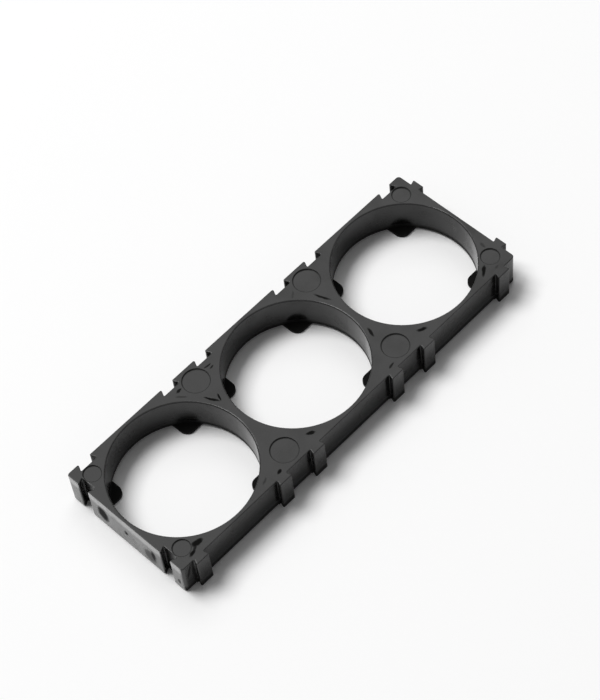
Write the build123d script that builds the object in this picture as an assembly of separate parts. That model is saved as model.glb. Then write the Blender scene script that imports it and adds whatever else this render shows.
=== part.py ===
"""Bracket that holds three cylindrical cells side by side by one end.

One moulded plastic piece: a low rectangular block with three through bores. Four
small tongues stand into the foot of each bore and stop the cell. Dovetail tabs on
one long side and one end slide into the dovetail grooves of the next bracket, so
any number of brackets lock together at the pitch of the cells.

Millimetres. X runs along the row of cells, Y across it and Z up. The origin is
the centre of the whole footprint, tabs included, on the underside.
"""
import os
from math import radians, sqrt, tan

from build123d import *

# Cells
cell_count = 3
cell_diameter = 32.2
cell_clearance = 0.15     # radial, between a cell and its bore
web = 2.0                 # thinnest wall between two bores

# Block
height = 9.3
assembly_gap = 0.1        # between two brackets that are locked together
corner_round = 0.8        # upright corners of the block
edge_bevel = 0.1          # top edge, tabs and grooves included
foot_bevel = 0.45         # lower edge of the block, and the flare at the foot of each bore
lead_in = 0.2             # bevel at the mouth of each bore

# Tongues that stop the cells
stop_thickness = 0.8
stop_reach = 2.4          # from the wall of the bore to the tip of a tongue
stop_tip_round = 2.0
stop_root_round = 0.6

# Dovetail joints
joint_inset = 5.0         # centre of a joint, in from the line between two cells
side_root_width = 2.7     # tabs of the long side, where they leave the block
end_root_width = 2.2      # tabs of the end
tab_length = 1.3
flank_angle = 20.0        # degrees, of the tabs
groove_flank_angle = 26.0 # wider, so that only the lips of a groove touch its tab
joint_clearance = 0.1     # between the flanks of a tab and of its groove
groove_relief = 0.45      # between the tip of a tab and the floor of its groove
tab_tip_round = 0.25
tab_root_round = 0.2
lip_round = 0.3           # mouth of a groove
groove_floor_round = 0.2

# Round marks that the ejector pins leave in the top face
corner_pin_inset = 3.9    # centre of a mark, in from the lines between cells
corner_pin_radius = 2.0
tab_end_pin_inset = 3.6   # along the row, for the two corners at the end with tabs
tab_end_pin_radius = 2.15
web_pin_inset = 4.1       # across the row, also for those two corners
web_pin_radius = 3.1
pin_mark_depth = 0.3

# Sizes that follow from those above
bore_radius = cell_diameter / 2 + cell_clearance
pitch = 2 * bore_radius + web
body_length = cell_count * pitch - assembly_gap
body_width = pitch - assembly_gap
groove_depth = tab_length - assembly_gap + groove_relief
flank_slope = tan(radians(flank_angle))
groove_slope = tan(radians(groove_flank_angle))
middle_x = -tab_length / 2
middle_y = tab_length / 2
cell_centres = [
    (middle_x + (number - (cell_count - 1) / 2) * pitch, middle_y)
    for number in range(cell_count)
]
joint_offsets = (-(pitch / 2 - joint_inset), pitch / 2 - joint_inset)


def dovetail(narrow_width, depth, slope, wide_corner_round):
    """Trapezoid that widens along +Y from the X axis, round at its wide corners."""
    half_narrow = narrow_width / 2
    half_wide = half_narrow + depth * slope
    outline = Polyline(
        (-half_narrow, 0), (half_narrow, 0), (half_wide, depth), (-half_wide, depth), close=True
    )
    face = make_face(outline)
    return fillet(face.vertices().group_by(Axis.Y)[-1], wide_corner_round)


def tab(root_width):
    """Outline of a tab that points along +Y."""
    return dovetail(root_width, tab_length, flank_slope, tab_tip_round)


def groove(root_width):
    """Outline of the groove for a tab with this root width, cut along +Y."""
    return dovetail(mouth_width(root_width), groove_depth, groove_slope, groove_floor_round)


def mouth_width(root_width):
    """Width of the groove's mouth that takes a tab with this root width."""
    return root_width + 2 * assembly_gap * flank_slope + 2 * joint_clearance


def joint_places():
    """Places of every joint: along each long side, and at the two ends."""
    along = [x + offset for x, _ in cell_centres for offset in joint_offsets]
    across = [middle_y + offset for offset in joint_offsets]
    near = [Pos(x, middle_y - body_width / 2) for x in along]
    far = [Pos(x, middle_y + body_width / 2) for x in along]
    left = [Pos(middle_x - body_length / 2, y) for y in across]
    right = [Pos(middle_x + body_length / 2, y) for y in across]
    return near, far, left, right


def block_outline():
    """Outline of the block seen from above, with its tabs and grooves."""
    near, far, left, right = joint_places()
    outline = plain_outline()
    outline -= [place * Rot(0, 0, 180) * groove(side_root_width) for place in far]
    outline -= [place * Rot(0, 0, -90) * groove(end_root_width) for place in left]
    outline = fillet(mouth_corners(outline, far, left), lip_round)
    outline += tabs(near, right)
    return fillet(tab_corners(outline, near, right), tab_root_round)


def plain_outline():
    """Outline of the block without tabs and grooves."""
    outline = Pos(middle_x, middle_y) * Rectangle(body_length, body_width)
    return fillet(outline.vertices(), corner_round)


def tabs(near, right):
    """Outlines of the tabs in their places."""
    side_tabs = [place * Rot(0, 0, 180) * tab(side_root_width) for place in near]
    end_tabs = [place * Rot(0, 0, -90) * tab(end_root_width) for place in right]
    return side_tabs + end_tabs


def corners_near(outline, places, reach):
    """Corners of the outline on the side of the block, within reach of the places."""
    return [
        corner
        for corner in outline.vertices()
        if any((corner.center() - place.position).length < reach for place in places)
    ]


def mouth_corners(outline, far, left):
    """Corners at the mouths of the grooves."""
    side_reach = mouth_width(side_root_width) / 2 + tab_root_round
    end_reach = mouth_width(end_root_width) / 2 + tab_root_round
    return corners_near(outline, far, side_reach) + corners_near(outline, left, end_reach)


def tab_corners(outline, near, right):
    """Corners where the tabs leave the block."""
    side_reach = side_root_width / 2 + tab_root_round
    end_reach = end_root_width / 2 + tab_root_round
    return corners_near(outline, near, side_reach) + corners_near(outline, right, end_reach)


def block():
    """Solid block with bevelled edges, before its bores are made."""
    solid = extrude(block_outline(), height)
    top_edges = solid.edges().group_by(Axis.Z)[-1]
    solid = chamfer(top_edges, edge_bevel)
    return solid & (bevelled_foot() + tab_columns())


def bevelled_foot():
    """Plain block with a bevel round its lower edge."""
    solid = extrude(plain_outline(), height)
    return chamfer(solid.edges().group_by(Axis.Z)[0], foot_bevel)


def tab_columns():
    """Room for the tabs down to the underside, with the rounds at their roots."""
    near, _, _, right = joint_places()
    side_width = side_root_width + 2 * tab_length * flank_slope
    end_width = end_root_width + 2 * tab_length * flank_slope
    side_column = Rectangle(side_width, 2 * tab_length)
    end_column = Rectangle(2 * tab_length, end_width)
    columns = [place * side_column for place in near] + [place * end_column for place in right]
    return extrude(Sketch() + columns, height)


def tongue():
    """Outline of one tongue, on the diagonal of a bore."""
    tip_distance = bore_radius - stop_reach
    corner_offset = (tip_distance - stop_tip_round * (sqrt(2) - 1)) / sqrt(2)
    corner = (Align.MIN, Align.MIN)
    outline = Pos(corner_offset, corner_offset) * Rectangle(pitch, pitch, align=corner)
    tip = outline.vertices().sort_by_distance((0, 0))[0]
    return fillet(tip, stop_tip_round)


def stop_opening(radius):
    """Opening of this radius between the four tongues at the foot of a bore."""
    opening = Circle(radius) - [Rot(0, 0, turn) * tongue() for turn in range(0, 360, 90)]
    roots = [
        vertex
        for vertex in opening.vertices()
        if abs(vertex.center().length - radius) < stop_root_round
    ]
    return fillet(roots, stop_root_round)


def bore():
    """Everything that is cut away for one cell, standing on the underside."""
    bottom = (Align.CENTER, Align.CENTER, Align.MIN)
    mouth_radius = bore_radius + lead_in
    foot_radius = bore_radius + foot_bevel
    seat = Pos(0, 0, stop_thickness) * Cylinder(bore_radius, height - stop_thickness, align=bottom)
    mouth = Pos(0, 0, height - lead_in) * Cone(bore_radius, mouth_radius, lead_in, align=bottom)
    foot = Cone(foot_radius, bore_radius, stop_thickness, align=bottom)
    return seat + mouth + (foot & extrude(stop_opening(foot_radius), stop_thickness))


def pin_mark(radius):
    """Shallow round recess in the top face."""
    sunk = (Align.CENTER, Align.CENTER, Align.MAX)
    return Pos(0, 0, height) * Cylinder(radius, pin_mark_depth, align=sunk)


def pin_marks():
    """The marks at the four corners and the larger ones between the cells."""
    row_half = cell_count * pitch / 2
    left_x = middle_x - row_half + corner_pin_inset
    right_x = middle_x + row_half - tab_end_pin_inset
    marks = []
    for side in (-1, 1):
        corner_y = middle_y + side * (pitch / 2 - corner_pin_inset)
        web_y = middle_y + side * (pitch / 2 - web_pin_inset)
        marks.append(Pos(left_x, corner_y) * pin_mark(corner_pin_radius))
        marks.append(Pos(right_x, web_y) * pin_mark(tab_end_pin_radius))
        marks += [Pos(x + pitch / 2, web_y) * pin_mark(web_pin_radius) for x, _ in cell_centres[:-1]]
    return marks


def bracket():
    """The whole bracket."""
    solid = block()
    solid -= [Pos(x, y) * bore() for x, y in cell_centres]
    solid -= pin_marks()
    return solid


os.makedirs("parts", exist_ok=True)
export_step(bracket(), "parts/cell_holder_bracket.step")
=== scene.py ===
# %% [markdown]
# # A moulded bracket for three battery cells
#
# This lesson dresses one small plastic part: a low black block with three round bores,
# which holds cylindrical battery cells side by side. Dovetail tabs and grooves lock it to
# its neighbours. The shape comes ready made from the CAD model, so the work here is the
# finish of the plastic, the floor, the light and the camera.
#
# We load the CAD model first and never move it. Everything is in metres, with the
# underside at Z = 0, X along the row of bores and Y across it.

import bpy
import numpy as np
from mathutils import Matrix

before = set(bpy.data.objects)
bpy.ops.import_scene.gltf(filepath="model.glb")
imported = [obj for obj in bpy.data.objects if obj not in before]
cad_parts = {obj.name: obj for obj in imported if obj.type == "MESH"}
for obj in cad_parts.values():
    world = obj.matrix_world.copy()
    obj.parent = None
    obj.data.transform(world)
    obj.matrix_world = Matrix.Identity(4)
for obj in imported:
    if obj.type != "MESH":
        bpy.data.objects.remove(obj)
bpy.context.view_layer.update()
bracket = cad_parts["cell_holder_bracket"]

# %% [markdown]
# ## Sizes
#
# A few sizes of the bracket place the details of its finish. They are in millimetres in
# the CAD model's own frame, and one constant turns them into Blender's metres.

# %% Sizes of the bracket
MM = 0.001
pitch = 34.5
middle_x = -0.65
middle_y = 0.65
height = 9.3
body_length = 103.4
body_width = 34.4
print("pitch", pitch, "mm, height", height, "mm")

# %% [markdown]
# ## Two helpers for materials
#
# Colours are easiest to choose as the hex values that a picture editor shows. Blender
# mixes light in linear values, so one function turns a hex colour into a linear one.
# A second function adds a node, sets its options and joins its inputs, which keeps each
# material down to a few readable lines.


# %% Colour and node helpers
def linear(hex_colour):
    """Linear RGBA of an sRGB hex colour: each channel c becomes ((c + 0.055) / 1.055) ** 2.4,
    or c / 12.92 where it is very dark."""
    channels = np.array([int(hex_colour[i : i + 2], 16) for i in (1, 3, 5)]) / 255
    bright = ((channels + 0.055) / 1.055) ** 2.4
    return (*np.where(channels <= 0.04045, channels / 12.92, bright), 1.0)


def add_node(tree, kind, settings=None, inputs=None):
    """Adds a node. Settings go on the node. Each input is a value or another node's output."""
    node = tree.nodes.new(kind)
    for name, value in (settings or {}).items():
        setattr(node, name, value)
    for name, value in (inputs or {}).items():
        if isinstance(value, bpy.types.NodeSocket):
            tree.links.new(value, node.inputs[name])
        else:
            node.inputs[name].default_value = value
    return node


print("black plastic is", [round(c, 4) for c in linear("#131313")])

# %% [markdown]
# ## Marks that the mould leaves
#
# A real moulding is never quite even. Where thick and thin walls meet, the plastic shrinks and
# leaves small sunken marks, and where the melt flows round a bore it leaves short streaks. They are
# too shallow to change the shape, so they belong to the finish. We list each one by its place, its
# half length and half width, its turn and its strength, and the material draws them as soft sunken
# spots that are rougher, with their reflections darkened as painted shade.

# %% Places of the marks
# x, y, half length, half width in mm, turn in degrees, strength from 0 to 1
top_marks = [
    (-45.5, -14.2, 1.6, 0.7, -8, 1.0),
    (-46.8, -14.8, 1.2, 0.4, 35, 0.8),
    (-47.8, -15.3, 1.1, 0.45, 10, 1.0),
    (-25.9, -14.6, 1.1, 0.3, 25, 0.5),
    (-22.4, -15.4, 0.8, 0.35, 15, 1.0),
    (-11.2, -13.9, 1.2, 0.5, -30, 1.0),
    (-22.1, 14.7, 0.9, 0.35, 0, 0.9),
    (-22.8, 13.2, 1.4, 0.3, -42, 0.5),
    (-13.6, 14.6, 1.0, 0.25, 0, 0.8),
    (-13.2, 13.8, 0.6, 0.25, 0, 0.8),
    (-19.0, 8.0, 2.0, 0.35, -63, 1.0),
    (-17.5, 7.0, 1.1, 0.3, 67, 1.0),
    (15.6, 8.1, 2.1, 0.35, -70, 0.9),
    (11.8, 13.4, 1.1, 0.35, 45, 0.4),
    (15.7, -6.2, 1.4, 0.4, 72, 0.9),
    (12.3, -15.4, 1.0, 0.3, 12, 0.8),
    (23.4, -14.0, 1.2, 0.5, -25, 1.0),
    (43.6, -14.0, 1.7, 0.45, 36, 1.0),
    (46.4, -15.5, 0.6, 0.3, 10, 0.5),
    (48.7, -9.3, 1.0, 0.4, 90, 0.4),
]
# y, z, half width, half height in mm, turn in degrees, strength
end_marks = [
    (7.6, 4.7, 1.6, 2.6, 0, 1.0),
    (-7.5, 4.6, 0.7, 2.1, 0, 0.9),
    (-6.5, 3.6, 2.0, 2.6, 20, 0.4),
    (0.6, 4.9, 0.6, 0.8, 0, 0.8),
    (-14.9, 3.0, 0.5, 1.1, 0, 0.5),
]
# x, z, half length, half width in mm, turn in degrees, strength
near_marks = [
    (-49.3, 4.2, 4.6, 0.35, 90, 0.9),
    (-50.6, 6.6, 2.6, 0.35, 72, 0.9),
]
# Lines of painted shade round the rims of the ejector pins' marks: places in from the lines between
# cells, and radii, in mm
corner_pin_inset, corner_pin_radius = 3.9, 2.0
web_pin_inset, web_pin_radius = 4.1, 3.1
tab_end_pin_inset, tab_end_pin_radius = 3.6, 2.15
row_half = 1.5 * pitch
pins = [
    (x, middle_y + side * (pitch / 2 - inset), radius)
    for side in (-1, 1)
    for x, inset, radius in (
        (middle_x - row_half + corner_pin_inset, corner_pin_inset, corner_pin_radius),
        (middle_x - pitch / 2, web_pin_inset, web_pin_radius),
        (middle_x + pitch / 2, web_pin_inset, web_pin_radius),
        (middle_x + row_half - tab_end_pin_inset, web_pin_inset, tab_end_pin_radius),
    )
]
end_face_x = middle_x - body_length / 2
near_face_y = middle_y - body_width / 2
print(len(top_marks), "marks in the top,", len(end_marks), "in the left end,", len(pins), "pins")

# %% [markdown]
# A mark is an ellipse. A Mapping node moves its centre to zero, turns it straight and divides by
# its half sizes, so that its edge lies at a distance of 1 from the centre. Its strength falls off
# smoothly across that edge. Round each ejector pin, a thin line of painted shade follows the rim of
# the pin's mark, and it is found by its distance from the pin's centre.

# %% Sizes of the marks
mark_full, mark_gone = 0.55, 1.25  # distances, in half sizes, of full strength and of none
mark_reach = 1.5  # mm, half size of a mark through the surface
line_half_width = 0.14  # mm
pin_shade_strength = 0.45
print("a pin's line is", 2 * line_half_width, "mm wide")


# %% One mark, one line of painted shade, and the strongest of several
def mark(tree, place, centre, half_sizes, turn, strength):
    """Strength at the centre, falling smoothly to 0 outside the ellipse."""
    inside = add_node(
        tree,
        "ShaderNodeMapping",
        {"vector_type": "TEXTURE"},
        {
            "Vector": place,
            "Location": tuple(value * MM for value in centre),
            "Rotation": tuple(np.radians(turn)),
            "Scale": tuple(value * MM for value in half_sizes),
        },
    )
    distance = add_node(
        tree, "ShaderNodeVectorMath", {"operation": "LENGTH"}, {0: inside.outputs["Vector"]}
    )
    falloff = add_node(
        tree,
        "ShaderNodeMapRange",
        {"interpolation_type": "SMOOTHSTEP"},
        {
            "Value": distance.outputs["Value"],
            "From Min": mark_full,
            "From Max": mark_gone,
            "To Min": strength,
            "To Max": 0.0,
        },
    )
    return falloff.outputs["Result"]


def pin_rim_painted_shade(tree, place, x, y, radius):
    """Strength of the thin line of painted shade at this radius round the pin's centre, and 0
    elsewhere.
    """
    offset = add_node(
        tree,
        "ShaderNodeVectorMath",
        {"operation": "DISTANCE"},
        {0: place, 1: (x * MM, y * MM, height * MM)},
    )
    gap = add_node(
        tree,
        "ShaderNodeMath",
        {"operation": "COMPARE"},
        {0: offset.outputs["Value"], 1: radius * MM, 2: line_half_width * MM},
    )
    line = add_node(
        tree,
        "ShaderNodeMath",
        {"operation": "MULTIPLY"},
        {0: gap.outputs["Value"], 1: pin_shade_strength},
    )
    return line.outputs["Value"]


def strongest(tree, values):
    """The largest of several values."""
    largest = values[0]
    for value in values[1:]:
        step = add_node(tree, "ShaderNodeMath", {"operation": "MAXIMUM"}, {0: largest, 1: value})
        largest = step.outputs["Value"]
    return largest


print("helpers for the marks are ready")

# %% [markdown]
# ## Places in the plastic
#
# Two things are needed more than once. A little noise in the position makes the edges of
# marks uneven. A mask tells the left end face from the rest, so that what is drawn there
# doesn't show through the thin wall of the bore behind it.


# %% Uneven places and the left end
ragged_size = 1.5  # mm, from wave to wave
ragged_shift = 0.35  # mm, to either side
end_face_depth = 0.1  # mm


def uneven_place(tree, place):
    """The position, shifted by noise to either side."""
    ragged = add_node(
        tree,
        "ShaderNodeTexNoise",
        inputs={"Vector": place, "Scale": 1 / (ragged_size * MM), "Detail": 2.0},
    )
    shifted = add_node(
        tree,
        "ShaderNodeVectorMath",
        {"operation": "MULTIPLY_ADD"},
        {0: ragged.outputs["Color"], 1: (2 * ragged_shift * MM,) * 3, 2: place},
    )
    centred = add_node(
        tree,
        "ShaderNodeVectorMath",
        {"operation": "SUBTRACT"},
        {0: shifted.outputs["Vector"], 1: (ragged_shift * MM,) * 3},
    )
    return centred.outputs["Vector"]


def left_end(tree, place):
    """1 on the left end face and 0 elsewhere."""
    along = add_node(tree, "ShaderNodeSeparateXYZ", inputs={0: place}).outputs["X"]
    return add_node(
        tree,
        "ShaderNodeMath",
        {"operation": "LESS_THAN"},
        {0: along, 1: (end_face_x + end_face_depth) * MM},
    ).outputs["Value"]


print("left end face at x =", end_face_x, "mm")

# %% [markdown]
# All the sunken marks together give one value: how deep the plastic is sunken here, which also sets
# how strongly their reflections are darkened as painted shade. Each mark on the top turns about Z,
# each on the end about X and each on the near wall about Y.


# %% All the sunken marks
def sunken_marks(tree, uneven, end_face):
    """Strength of the strongest mark at each place."""
    on_top = [
        mark(tree, uneven, (x, y, height), (length, width, mark_reach), (0, 0, turn), strength)
        for x, y, length, width, turn, strength in top_marks
    ]
    on_end = [
        mark(tree, uneven, (end_face_x, y, z), (mark_reach, width, tall), (turn, 0, 0), strength)
        for y, z, width, tall, turn, strength in end_marks
    ]
    on_near = [
        mark(tree, uneven, (x, near_face_y, z), (half, mark_reach, width), (0, -turn, 0), strength)
        for x, z, half, width, turn, strength in near_marks
    ]
    only_on_end = add_node(
        tree, "ShaderNodeMath", {"operation": "MULTIPLY"}, {0: strongest(tree, on_end), 1: end_face}
    )
    return strongest(tree, [*on_top, only_on_end.outputs["Value"], *on_near])


print("marks in all:", len(top_marks) + len(end_marks) + len(near_marks))

# %% [markdown]
# ## Where the gloss is weaker, and where painted shade darkens it
#
# The tongues and the foot of every wall, inside the bores and outside, are duller than the rest, up
# to 2.5 mm above the underside, and their reflections are darkened there as painted shade, darker
# towards the bottom. The underside itself and the left end are left out. A haze of clouds, some
# millimetres across, takes a little of the gloss away from the whole bracket.

# %% Sizes of the dull zones
foot_low, foot_high = 0.9, 2.5  # mm above the underside
# strength of the rougher finish and of the painted shade at the foot
foot_shade_strength = 0.9
underside_top = 0.1  # mm
haze_from, haze_to = 0.42, 0.68  # of the clouds' noise
haze_strength = 0.22
print("the foot is dull below", foot_high, "mm")


# %% Dull foot with painted shade, and haze
def dull_foot_painted_shade(tree, place, end_face):
    """Strength of the rougher finish and of painted shade low on the walls and on the tongues,
    darker towards the bottom.
    """
    level = add_node(tree, "ShaderNodeSeparateXYZ", inputs={0: place}).outputs["Z"]
    low = add_node(
        tree,
        "ShaderNodeMapRange",
        {"interpolation_type": "SMOOTHSTEP"},
        {
            "Value": level,
            "From Min": foot_low * MM,
            "From Max": foot_high * MM,
            "To Min": foot_shade_strength,
            "To Max": 0.0,
        },
    )
    above_underside = add_node(
        tree, "ShaderNodeMath", {"operation": "GREATER_THAN"}, {0: level, 1: underside_top * MM}
    )
    off_the_end = add_node(
        tree,
        "ShaderNodeMath",
        {"operation": "SUBTRACT", "use_clamp": True},
        {0: above_underside.outputs["Value"], 1: end_face},
    )
    return add_node(
        tree,
        "ShaderNodeMath",
        {"operation": "MULTIPLY"},
        {0: low.outputs["Result"], 1: off_the_end.outputs["Value"]},
    ).outputs["Value"]


def cloudy_haze(tree, clouds):
    """Strength of the faint haze, which follows the clouds."""
    return add_node(
        tree,
        "ShaderNodeMapRange",
        inputs={
            "Value": clouds,
            "From Min": haze_from,
            "From Max": haze_to,
            "To Min": 0.0,
            "To Max": haze_strength,
        },
    ).outputs["Result"]


print("haze takes up to", haze_strength, "of the gloss")

# %% [markdown]
# ## Colour
#
# The plastic is nearly black, with a faint change between two blacks. The left end is painted a
# paler grey, a painted reflection of the bright table, with a painted highlight band along its top
# edge. Over the sunken marks this painted reflection is left out, so they stay black.

# %% Sizes of the painted highlight band
band_low, band_high = 6.6, 8.2  # mm above the underside
# strength of the painted reflection below the band and inside it
glare_below_band, glare_in_band = 0.3, 1.0
print("pale band from", band_low, "to", band_high, "mm")


# %% Colour of the plastic
def painted_end_glare(tree, uneven, end_face, sunken_shaded_marks):
    """How strongly the painted reflection and the painted highlight band cover the left end, left
    out over the marks.
    """
    level = add_node(tree, "ShaderNodeSeparateXYZ", inputs={0: uneven}).outputs["Z"]
    highlight_band = add_node(
        tree,
        "ShaderNodeMapRange",
        {"interpolation_type": "SMOOTHSTEP"},
        {
            "Value": level,
            "From Min": band_low * MM,
            "From Max": band_high * MM,
            "To Min": glare_below_band,
            "To Max": glare_in_band,
        },
    )
    painted_reflection = add_node(
        tree, "ShaderNodeMath", {"operation": "MULTIPLY"}, {0: highlight_band.outputs["Result"], 1: end_face}
    )
    return add_node(
        tree,
        "ShaderNodeMath",
        {"operation": "SUBTRACT", "use_clamp": True},
        {0: painted_reflection.outputs["Value"], 1: sunken_shaded_marks},
    ).outputs["Value"]


def plastic_colour(tree, clouds, painted_glare):
    """Two blacks mixed by the clouds, and the grey of the painted reflection on the left end."""
    black = add_node(
        tree,
        "ShaderNodeMix",
        {"data_type": "RGBA"},
        {"Factor": clouds, "A": linear("#0b0b0b"), "B": linear("#131312")},
    )
    # acacac is a painted reflection and painted highlight on the left end, not the plastic's own
    # colour
    return add_node(
        tree,
        "ShaderNodeMix",
        {"data_type": "RGBA"},
        {"Factor": painted_glare, "A": black.outputs["Result"], "B": linear("#acacac")},
    ).outputs["Result"]


print("the rubbed end is", [round(c, 3) for c in linear("#acacac")])

# %% [markdown]
# ## Gloss
#
# The mould is smooth, so the plastic has a soft gloss. Where the gloss is weaker, the surface is
# rougher and its reflections are tinted dark: painted shade at the marks, the pin rims and the foot
# of the walls, and a faint random haze elsewhere.


# %% Roughness and reflections
def plastic_roughness(tree, clouds, dulling_and_painted_shade):
    """Soft gloss that changes faintly with the clouds, and 0.8 where the gloss is gone."""
    glossy = add_node(
        tree, "ShaderNodeMapRange", inputs={"Value": clouds, "To Min": 0.13, "To Max": 0.23}
    )
    return add_node(
        tree,
        "ShaderNodeMix",
        {"data_type": "FLOAT"},
        {"Factor": dulling_and_painted_shade, "A": glossy.outputs["Result"], "B": 0.8},
    ).outputs["Result"]


def painted_shade_in_reflections(tree, dulling_and_painted_shade):
    """Reflection tint: white where the gloss is full, and dark where it is gone, as painted shade
    at the marks, pin rims and foot and as faint random haze elsewhere.
    """
    # the dark reflection tint #202020 is painted shade
    return add_node(
        tree,
        "ShaderNodeMix",
        {"data_type": "RGBA"},
        {"Factor": dulling_and_painted_shade, "A": linear("#ffffff"), "B": linear("#202020")},
    ).outputs["Result"]


print("gloss is ready")

# %% [markdown]
# ## Relief
#
# Three things bend the light at the surface. A Bevel node rounds the sharp edges by a
# quarter of a millimetre, in the shading only. A very shallow waviness, 2 mm from wave to
# wave, is the orange peel that all moulded plastic has. The marks are sunken a little.

# %% Sizes of the relief
edge_radius = 0.25  # mm
peel_size, peel_depth = 2.0, 0.02  # mm
sunken_depth = 0.04  # mm
print("edges are softened by", edge_radius, "mm")


# %% Relief
def relief(tree, place, sunken_shaded_marks):
    """Direction of the surface with soft edges, orange peel and sunken marks."""
    soft_edges = add_node(tree, "ShaderNodeBevel", {"samples": 8}, {"Radius": edge_radius * MM})
    peel = add_node(
        tree,
        "ShaderNodeTexNoise",
        inputs={"Vector": place, "Scale": 1 / (peel_size * MM), "Detail": 2.0},
    )
    waves = add_node(
        tree,
        "ShaderNodeBump",
        inputs={
            "Height": peel.outputs["Fac"],
            "Strength": 0.4,
            "Distance": peel_depth * MM,
            "Normal": soft_edges.outputs["Normal"],
        },
    )
    return add_node(
        tree,
        "ShaderNodeBump",
        {"invert": True},
        {
            "Height": sunken_shaded_marks,
            "Strength": 0.5,
            "Distance": sunken_depth * MM,
            "Normal": waves.outputs["Normal"],
        },
    ).outputs["Normal"]


print("orange peel is", peel_size, "mm from wave to wave")

# %% [markdown]
# ## Black moulded ABS
#
# Cell brackets are moulded from ABS that is coloured black all the way through. It looks
# nearly black where it reflects nothing and dark grey where it reflects a white room. The
# index of refraction is a little lower than the 1.53 of plain ABS. That keeps the walls
# dark in a bright room, and a panel overhead gives the top its grey.

# %% Sizes of the plastic's finish
cloud_size = 6.0  # mm
plastic_ior = 1.4
print("clouds are", cloud_size, "mm across")


# %% Black moulded ABS
def black_abs():
    """Gloss plastic with all that the mould leaves on it."""
    material = bpy.data.materials.new("black_abs_moulded")
    material.use_nodes = True
    tree = material.node_tree
    tree.nodes.clear()
    place = add_node(tree, "ShaderNodeTexCoord").outputs["Object"]
    clouds = add_node(
        tree,
        "ShaderNodeTexNoise",
        inputs={"Vector": place, "Scale": 1 / (cloud_size * MM), "Detail": 3.0},
    ).outputs["Fac"]
    uneven = uneven_place(tree, place)
    end_face = left_end(tree, place)
    sunken_shaded_marks = sunken_marks(tree, uneven, end_face)
    foot = dull_foot_painted_shade(tree, place, end_face)
    pin_rim_shades = [pin_rim_painted_shade(tree, place, x, y, radius) for x, y, radius in pins]
    # this makes the surface rougher and darkens its reflections as painted shade at marks, pin rims
    # and foot, with random haze elsewhere
    dulling_and_painted_shade = strongest(tree, [sunken_shaded_marks, foot, cloudy_haze(tree, clouds), *pin_rim_shades])
    # the left end gets a painted reflection and a painted highlight band in its colour
    painted_glare = painted_end_glare(tree, uneven, end_face, sunken_shaded_marks)
    plastic = add_node(
        tree,
        "ShaderNodeBsdfPrincipled",
        inputs={
            "Base Color": plastic_colour(tree, clouds, painted_glare),
            "Roughness": plastic_roughness(tree, clouds, dulling_and_painted_shade),
            "Specular Tint": painted_shade_in_reflections(tree, dulling_and_painted_shade),
            "Normal": relief(tree, place, sunken_shaded_marks),
            "IOR": plastic_ior,
        },
    )
    add_node(tree, "ShaderNodeOutputMaterial", inputs={"Surface": plastic.outputs["BSDF"]})
    return material


abs_plastic = black_abs()
for slot in bracket.material_slots:
    slot.material = abs_plastic
print("material on the bracket:", abs_plastic.name)

# %% [markdown]
# ## Floor
#
# The bracket lies on a plain white table. A flat square is enough, large enough that its
# edge is never in view. It lies a hair below the bracket, so that no two faces share a
# plane, and it is clear from below, so that the underside can be looked at too.


# %% Floor
def flat_square(name, half, level, material):
    """Square at one level: corner k is half times the sign pair (u, v), in order round it."""
    signs = np.array([(-1, -1), (1, -1), (1, 1), (-1, 1)], float)
    corners = np.column_stack([signs * half, np.full(4, level)])
    mesh = bpy.data.meshes.new(name)
    mesh.from_pydata(corners.tolist(), [], [(0, 1, 2, 3)])
    mesh.materials.append(material)
    square = bpy.data.objects.new(name, mesh)
    bpy.context.scene.collection.objects.link(square)
    return square


def white_table():
    """Matt white laminate."""
    material = bpy.data.materials.new("white_laminate_matt")
    material.use_nodes = True
    tree = material.node_tree
    tree.nodes.clear()
    table = add_node(tree, "ShaderNodeBsdfDiffuse", inputs={"Color": linear("#fdfdfd")})
    clear = add_node(tree, "ShaderNodeBsdfTransparent")
    one_sided = add_node(
        tree,
        "ShaderNodeMixShader",
        inputs={
            0: add_node(tree, "ShaderNodeNewGeometry").outputs["Backfacing"],
            1: table.outputs["BSDF"],
            2: clear.outputs["BSDF"],
        },
    )
    add_node(tree, "ShaderNodeOutputMaterial", inputs={"Surface": one_sided.outputs["Shader"]})
    return material


floor_half = 3.0  # metres
floor_gap = 0.02  # mm, below the bracket
floor = flat_square("floor", floor_half, -floor_gap * MM, white_table())
print("floor is", 2 * floor_half, "m across")

# %% [markdown]
# ## Light
#
# The table and the gloss of the plastic reflect a white room, so every ray from the
# camera, and every glossy or see-through one, meets a world of strength 1, which is white.
# The soft light that falls on things from that room is weaker than that. Most of the
# light comes from one large lamp, high up behind the bracket and to its left. It lights
# the left end and leaves the near side in soft shadow. A second, weaker panel hangs where
# the top face mirrors it to the camera, which turns the black top a dark grey.


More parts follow.
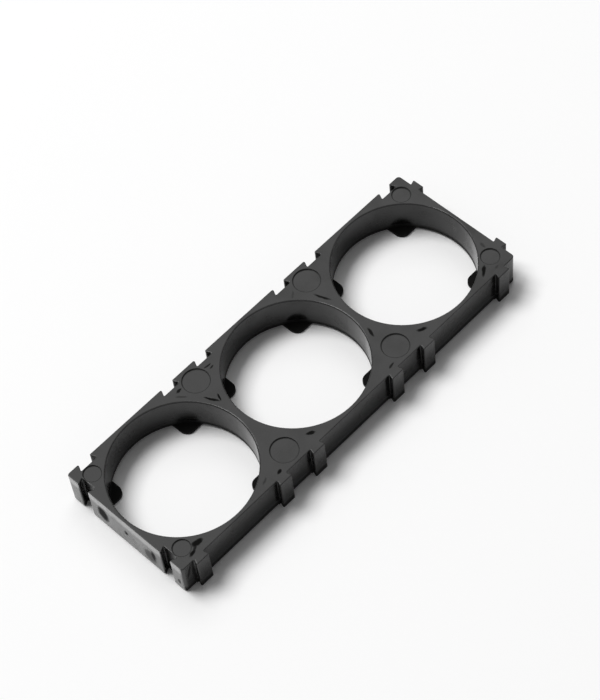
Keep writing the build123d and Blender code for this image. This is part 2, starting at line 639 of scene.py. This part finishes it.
# %% Room
def white_room(light_strength):
    """World that looks white and sends out soft light of the given strength."""
    world = bpy.data.worlds.new("white_room")
    world.use_nodes = True
    tree = world.node_tree
    tree.nodes.clear()
    path = add_node(tree, "ShaderNodeLightPath").outputs
    seen = path["Is Camera Ray"]
    for kind in ("Is Glossy Ray", "Is Transmission Ray"):
        seen = add_node(
            tree, "ShaderNodeMath", {"operation": "MAXIMUM"}, {0: seen, 1: path[kind]}
        ).outputs["Value"]
    strength = add_node(
        tree, "ShaderNodeMapRange", inputs={"Value": seen, "To Min": light_strength, "To Max": 1.0}
    )
    room = add_node(
        tree,
        "ShaderNodeBackground",
        inputs={"Color": (1.0, 1.0, 1.0, 1.0), "Strength": strength.outputs["Result"]},
    )
    add_node(tree, "ShaderNodeOutputWorld", inputs={"Surface": room.outputs["Background"]})
    return world


room_light = 0.17
bpy.context.scene.world = white_room(room_light)
print("room light", room_light)


# %% Lamp
def soft_lamp(name, turn, height_angle, distance, size, radiance):
    """Square lamp that faces the bracket. Its power is radiance times pi times its area."""
    lamp = bpy.data.lights.new(name, "AREA")
    lamp.shape = "SQUARE"
    lamp.size = size
    lamp.energy = radiance * np.pi * size**2
    lamp_object = bpy.data.objects.new(name, lamp)
    across = distance * np.cos(height_angle)
    lamp_object.location = (
        across * np.cos(turn),
        across * np.sin(turn),
        distance * np.sin(height_angle),
    )
    lamp_object.rotation_euler = (0.0, np.pi / 2 - height_angle, turn)
    bpy.context.scene.collection.objects.link(lamp_object)
    return lamp_object


# name, turn and height angle in degrees, distance and size in metres, radiance
lamps = [
    ("soft_key", 112, 63, 3.5, 1.6, 11.9),
    ("overhead_panel", 48, 57, 3.5, 2.6, 1.3),
]
for name, turn, height_angle, distance, size, radiance in lamps:
    lamp = soft_lamp(name, np.radians(turn), np.radians(height_angle), distance, size, radiance)
    print(name, "at", [round(c, 2) for c in lamp.location], "m")

# %% [markdown]
# ## Camera
#
# A long lens looks down on the bracket from its near left corner.

# %% Camera
camera_place = (-168.90, -203.42, 409.97)  # mm
camera_turn = (33.4865, 4.4133, -46.4175)  # degrees
camera_data = bpy.data.cameras.new("camera")
camera_data.lens = 115.3
camera_data.sensor_width = 36.0
camera_data.sensor_fit = "AUTO"
camera_data.clip_start = 0.01
camera = bpy.data.objects.new("camera", camera_data)
camera.location = np.array(camera_place) * MM
camera.rotation_euler = np.radians(camera_turn)
bpy.context.scene.collection.objects.link(camera)
bpy.context.scene.camera = camera
print("camera", camera.location)

# %% [markdown]
# ## Finish
#
# Plain colours need the Standard view.

# %% Finish
bpy.context.scene.view_settings.view_transform = "Standard"
